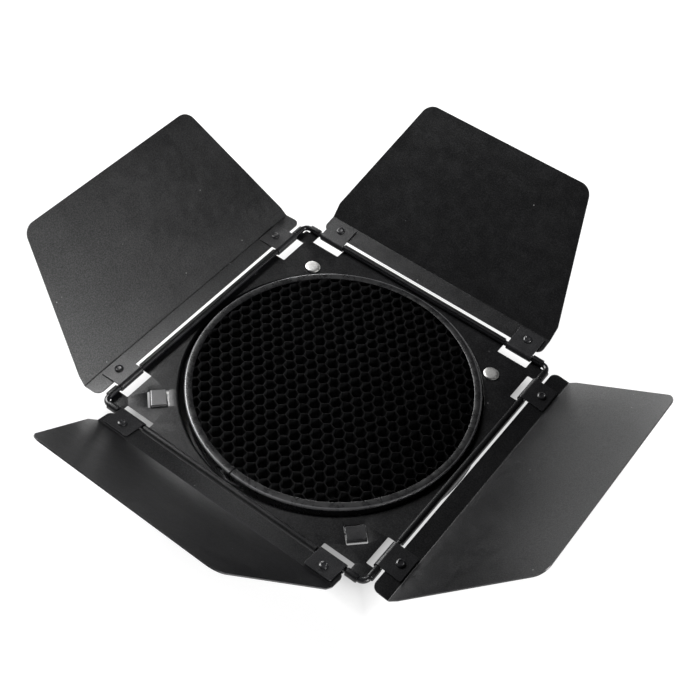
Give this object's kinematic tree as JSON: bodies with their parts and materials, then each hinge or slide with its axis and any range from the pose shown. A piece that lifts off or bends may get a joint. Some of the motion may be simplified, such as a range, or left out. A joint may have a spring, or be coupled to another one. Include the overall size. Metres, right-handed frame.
{
  "type": "barn door with honeycomb grid",
  "caption": "Barn door with a round honeycomb grid: a square sheet frame with hinged leaves that fold over the grid, and a rear collar with hooks and swinging latches.",
  "frame": {"origin": "the middle of the whole box, on the plane of the collar's rear rim, where the part stands", "axes": "+Z out of the front along the light, +X and +Y square to the frame's sides, with both latches on the +Y side and both hooks on the -Y side"},
  "size_m": [0.3518, 0.3468, 0.0954],
  "materials": {
    "leaf_sheet": "semi-matte black powder coat with a fine grain",
    "black_sheet": "semi-matte black powder coat on folded steel sheet",
    "black_wire": "satin black coated steel wire",
    "black_strip": "satin black bent steel strip",
    "black_fastener": "satin black steel rivet or spacer",
    "nickel_steel": "nickel plated, faintly turned",
    "grid_rim_black": "satin black formed rim",
    "grid_foil_black": "matt black honeycomb foil",
    "spring_steel": "bare spring steel"
  },
  "bodies": {
    "frame": {"frame_plate": "black_sheet", "hinge_wire": "black_wire", "collar_ring": "black_sheet", "hook_left": "black_strip", "hook_right": "black_strip", "latch_stud_left": "nickel_steel", "latch_stud_right": "nickel_steel", "latch_washer_left": "nickel_steel", "latch_washer_right": "nickel_steel", "latch_spacer_left": "black_fastener", "latch_spacer_right": "black_fastener"},
    "leaf_left_set": {"leaf_left": "leaf_sheet", "hinge_left_a": "black_sheet", "hinge_left_b": "black_sheet", "rivet_left_a": "black_fastener", "rivet_left_b": "black_fastener"},
    "leaf_right_set": {"leaf_right": "leaf_sheet", "hinge_right_a": "black_sheet", "hinge_right_b": "black_sheet", "rivet_right_a": "black_fastener", "rivet_right_b": "black_fastener"},
    "leaf_top_set": {"leaf_top": "leaf_sheet", "hinge_top_a": "black_sheet", "hinge_top_b": "black_sheet", "rivet_top_a": "black_fastener", "rivet_top_b": "black_fastener"},
    "leaf_bottom_set": {"leaf_bottom": "leaf_sheet", "hinge_bottom_a": "black_sheet", "hinge_bottom_b": "black_sheet", "rivet_bottom_a": "black_fastener", "rivet_bottom_b": "black_fastener"},
    "grid": {"grid_rim": "grid_rim_black", "grid_core": "grid_foil_black", "grid_spring_a": "spring_steel", "grid_spring_b": "spring_steel", "grid_spring_c": "spring_steel"},
    "latch_left_lever": {"latch_left": "black_strip"},
    "latch_right_lever": {"latch_right": "black_strip"}
  },
  "joints": [
    {"name": "leaf_left_fold", "type": "hinge", "parent": "frame", "child": "leaf_left_set", "pos_m": [-0.09657, -0.00238, 0.0167], "axis": [0, 1, 0], "range_deg": [-48, 123]},
    {"name": "leaf_right_fold", "type": "hinge", "parent": "frame", "child": "leaf_right_set", "pos_m": [0.09343, -0.00238, 0.0167], "axis": [0, -1, 0], "range_deg": [-46, 121]},
    {"name": "leaf_top_fold", "type": "hinge", "parent": "frame", "child": "leaf_top_set", "pos_m": [-0.00157, 0.09262, 0.0167], "axis": [1, 0, 0], "range_deg": [-47, 129.5]},
    {"name": "leaf_bottom_fold", "type": "hinge", "parent": "frame", "child": "leaf_bottom_set", "pos_m": [-0.00157, -0.09738, 0.0167], "axis": [-1, 0, 0], "range_deg": [-50, 128]},
    {"name": "grid_slide", "type": "slide", "parent": "frame", "child": "grid", "axis": [0, 0, -1], "range_m": [0, 0.022]},
    {"name": "latch_left_swing", "type": "hinge", "parent": "frame", "child": "latch_left_lever", "pos_m": [-0.07094, 0.06699, 0.0034], "axis": [0, 0, 1], "range_deg": [-90, 90]},
    {"name": "latch_right_swing", "type": "hinge", "parent": "frame", "child": "latch_right_lever", "pos_m": [0.0678, 0.06699, 0.0034], "axis": [0, 0, 1], "range_deg": [-90, 90]}
  ]
}
